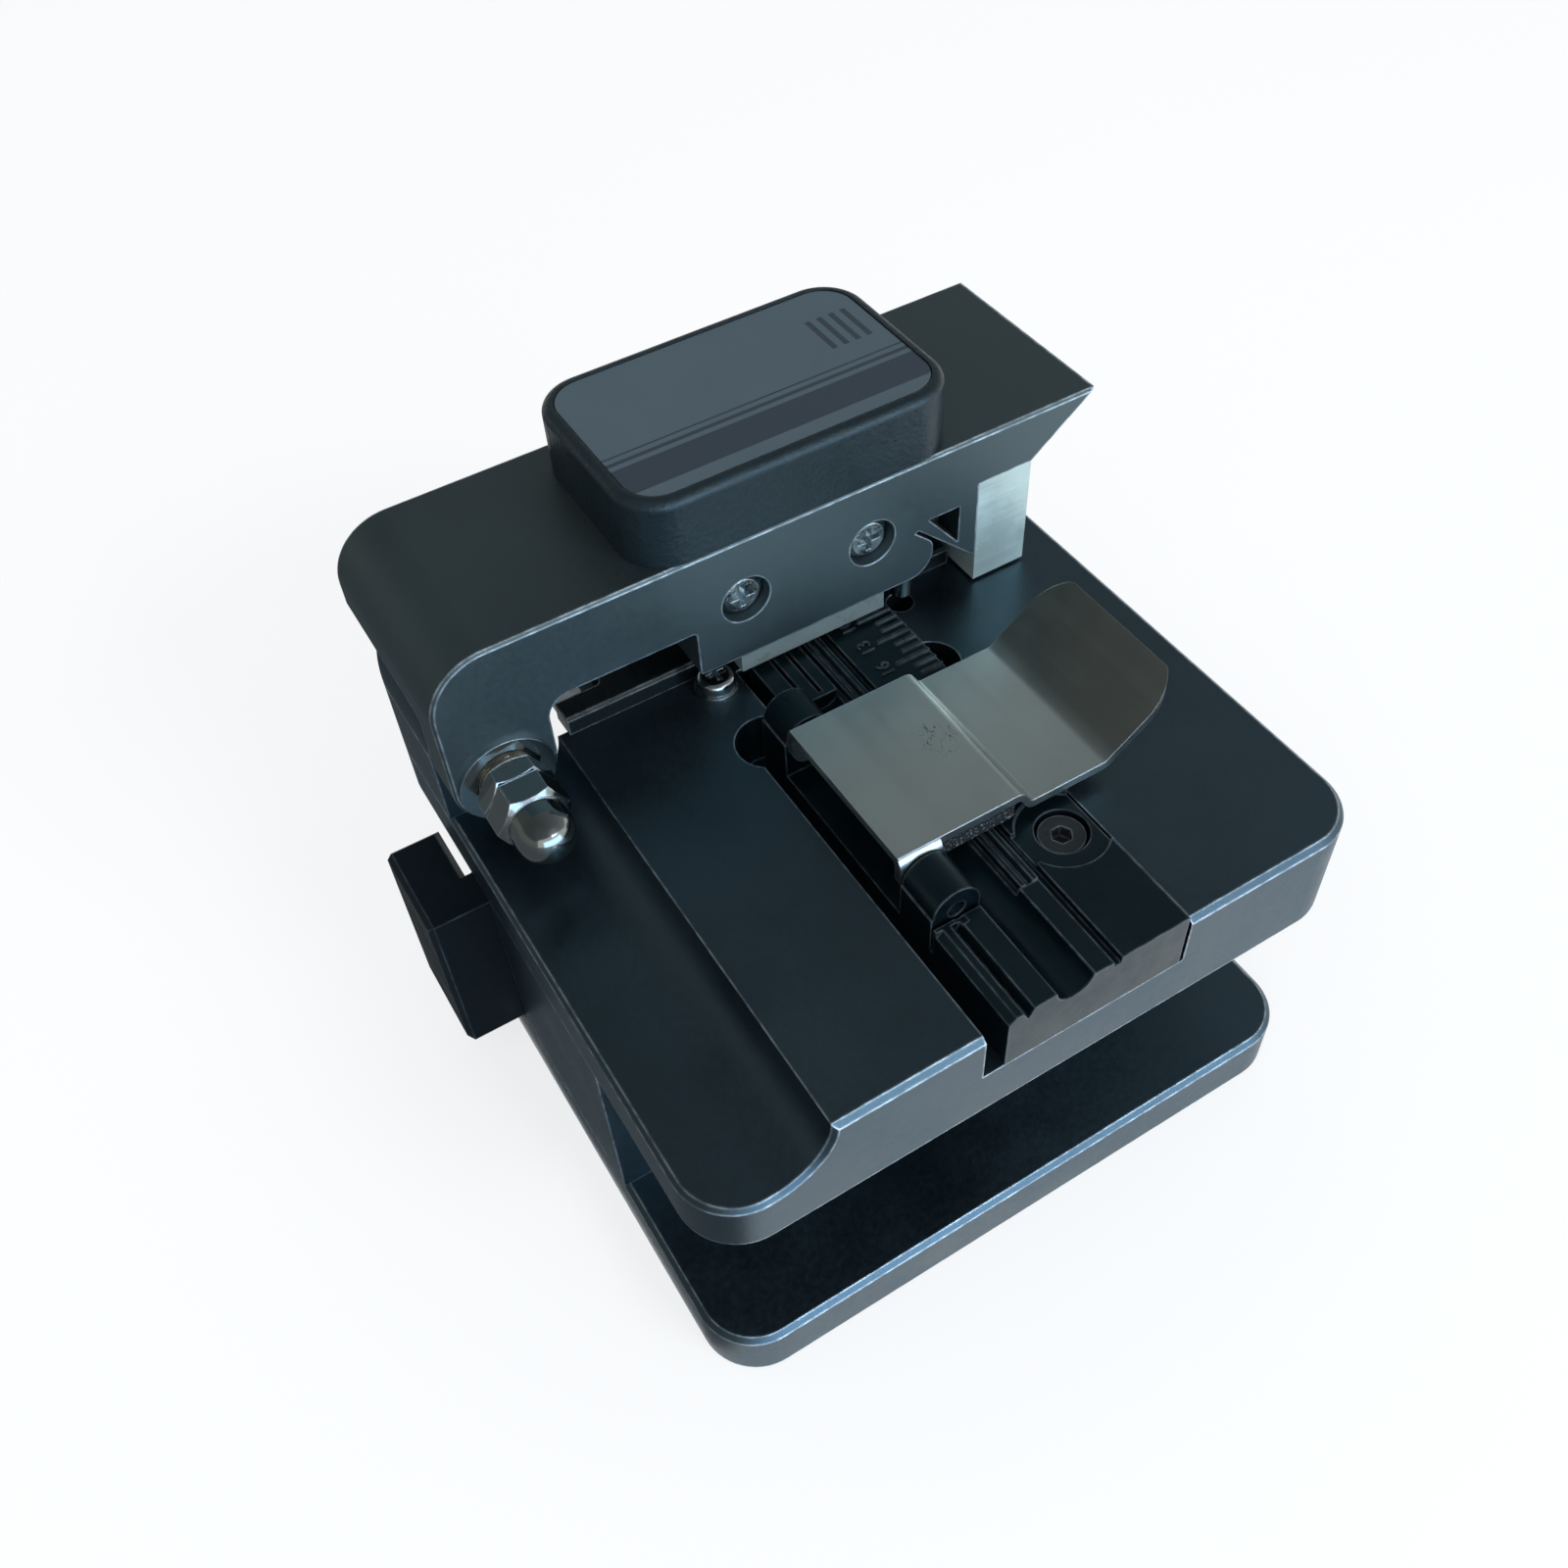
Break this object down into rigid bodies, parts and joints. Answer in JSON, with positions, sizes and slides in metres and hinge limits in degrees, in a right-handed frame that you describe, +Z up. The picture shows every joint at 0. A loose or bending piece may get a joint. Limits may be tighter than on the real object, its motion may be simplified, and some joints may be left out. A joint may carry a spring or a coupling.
{
  "type": "fibre cleaver",
  "caption": "Bench cleaver for single optical fibres: hinged clamp arm over a thick deck, fibre holder with a sheet-steel clamp, and a side knob that slides a scoring wheel.",
  "frame": {"origin": "centre of the base plate's outline, on the surface the feet stand on", "axes": "+Z up, +X along the blade's travel towards the arm's free end, +Y to the rear along the fibre"},
  "size_m": [0.0665, 0.0578, 0.0564],
  "materials": {
    "body_black": "black anodised, fine bead-blasted",
    "arm_grey": "dark anodised, satin",
    "pale_aluminium": "milled, clear anodised",
    "satin_steel": "satin",
    "bright_steel": "polished",
    "black_steel": "black oxide",
    "brass": "plain",
    "black_plastic": "fine grained",
    "pale_polymer": "translucent, matt",
    "rubber": "matt",
    "foam": "fine foam",
    "label": "satin lacquer",
    "carbide": "ground",
    "magnet": "nickel plated"
  },
  "bodies": {
    "base": {"base_plate": "body_black", "rubber_feet": "rubber", "base_screws": "black_steel", "pedestal": "body_black", "rear_pillar": "body_black", "deck_screws": "black_steel", "deck": "body_black", "guard_left": "body_black", "guard_right": "body_black", "lower_pads": "rubber", "hinge_block": "body_black", "hinge_block_screws": "black_steel", "hinge_shaft": "bright_steel", "shaft_set_screw": "black_steel", "bearing_inner_rings": "bright_steel", "rear_spacer": "brass", "thrust_washer": "brass", "jam_nut": "bright_steel", "acorn_nut": "bright_steel", "fibre_holder": "black_plastic", "holder_screw": "black_steel", "holder_magnet": "magnet", "clamp_pin": "bright_steel", "stop_washer": "bright_steel", "stop_screw": "bright_steel", "closing_plate": "bright_steel", "slide_rail": "bright_steel", "rail_screws": "black_steel"},
    "arm": {"lever_arm": "arm_grey", "arm_cap": "black_plastic", "arm_cap_screws": "black_steel", "label_plate": "label", "closing_leg": "pale_aluminium", "closing_magnet": "magnet", "closing_leg_screw": "black_steel", "upper_clamp": "pale_polymer", "upper_pads": "rubber", "upper_clamp_screws": "bright_steel", "anvil": "bright_steel", "anvil_adjuster": "black_steel", "guide_pin": "bright_steel", "bearing_outer_rings": "bright_steel"},
    "clamp": {"clamp_lever": "satin_steel", "clamp_pad": "foam"},
    "slide": {"slide_carriage": "bright_steel", "carriage_end_plates": "black_plastic", "blade_bracket": "pale_aluminium", "bracket_screws": "black_steel", "pull_bar": "satin_steel", "pull_bar_screws": "black_steel", "slider_knob": "black_plastic", "blade_screw": "black_steel", "blade_spacer": "bright_steel"},
    "wheel": {"blade": "carbide"}
  },
  "joints": [
    {"name": "arm_hinge", "type": "hinge", "parent": "base", "child": "arm", "pos_m": [-0.02515, 0.01, 0.03715], "axis": [0, -1, 0], "range_deg": [0, 100]},
    {"name": "clamp_hinge", "type": "hinge", "parent": "base", "child": "clamp", "pos_m": [-0.0026, -0.007, 0.03585], "axis": [0, -1, 0], "range_deg": [0, 100]},
    {"name": "knob_slide", "type": "slide", "parent": "base", "child": "slide", "axis": [-1, 0, 0], "range_m": [0, 0.016]},
    {"name": "wheel_turn", "type": "hinge", "parent": "slide", "child": "wheel", "pos_m": [0.0114, 0.0204, 0.02725], "axis": [0, 1, 0], "range_deg": [-180, 180]}
  ]
}
